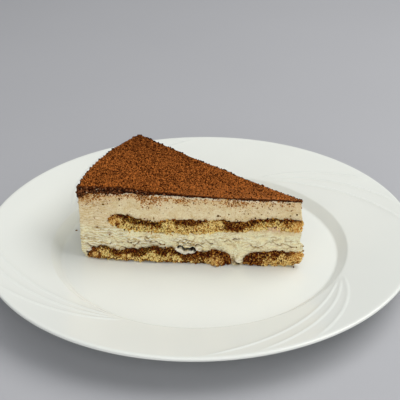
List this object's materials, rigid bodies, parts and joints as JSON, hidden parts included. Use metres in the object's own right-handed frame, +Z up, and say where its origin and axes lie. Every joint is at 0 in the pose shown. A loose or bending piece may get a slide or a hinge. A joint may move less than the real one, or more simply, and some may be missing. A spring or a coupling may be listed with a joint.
{
  "type": "tiramisu slice on a plate",
  "caption": "Wedge of layered tiramisu torte, cocoa on top and sponge between creams, in the well of a round rimmed plate.",
  "frame": {"origin": "centre of the plate's foot ring, on the surface that the plate stands on", "axes": "+Z up; +X towards the side on which the slice's point lies, roughly along its long front cut; +Y away from a person who faces that cut"},
  "size_m": [0.255, 0.255, 0.0541],
  "materials": {
    "porcelain": "gloss",
    "cream": "satin",
    "soaked_sponge": "matte",
    "cocoa": "matte"
  },
  "bodies": {
    "root": {"plate": "porcelain", "sponge_base_outer": "soaked_sponge", "sponge_base_tip": "soaked_sponge", "cream_lower": "cream", "sponge_middle": "soaked_sponge", "cream_upper": "cream", "cocoa_top": "cocoa"}
  },
  "joints": []
}
